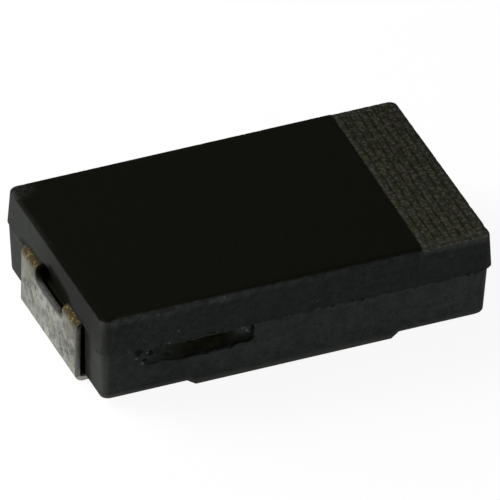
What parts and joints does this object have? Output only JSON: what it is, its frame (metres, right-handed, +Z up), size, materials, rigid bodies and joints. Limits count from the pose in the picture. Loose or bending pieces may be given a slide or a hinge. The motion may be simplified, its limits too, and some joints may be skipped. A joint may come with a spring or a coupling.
{
  "type": "aluminum polymer capacitor",
  "caption": "Flat resin-moulded chip capacitor with folded solder leads under its ends and a polarity band on top, for surface mounting.",
  "frame": {"origin": "on the board plane, under the middle of the part", "axes": "+X to the anode end with the polarity band, +Y to the long side without the gate mark, +Z up from the board"},
  "size_m": [0.0074, 0.0044, 0.0018],
  "materials": {
    "resin": "matt filled epoxy moulding resin with a fine spark-eroded grain",
    "tin_plate": "dull mottled tin plating on a copper alloy strip",
    "coated_foil": "silver-painted polymer coat over etched foil"
  },
  "bodies": {
    "root": {"moulded_case": "resin", "cathode_lead": "tin_plate", "anode_lead": "tin_plate", "upper_element_1": "coated_foil", "upper_element_2": "coated_foil", "lower_element_1": "coated_foil", "lower_element_2": "coated_foil", "lower_element_3": "coated_foil"}
  },
  "joints": []
}
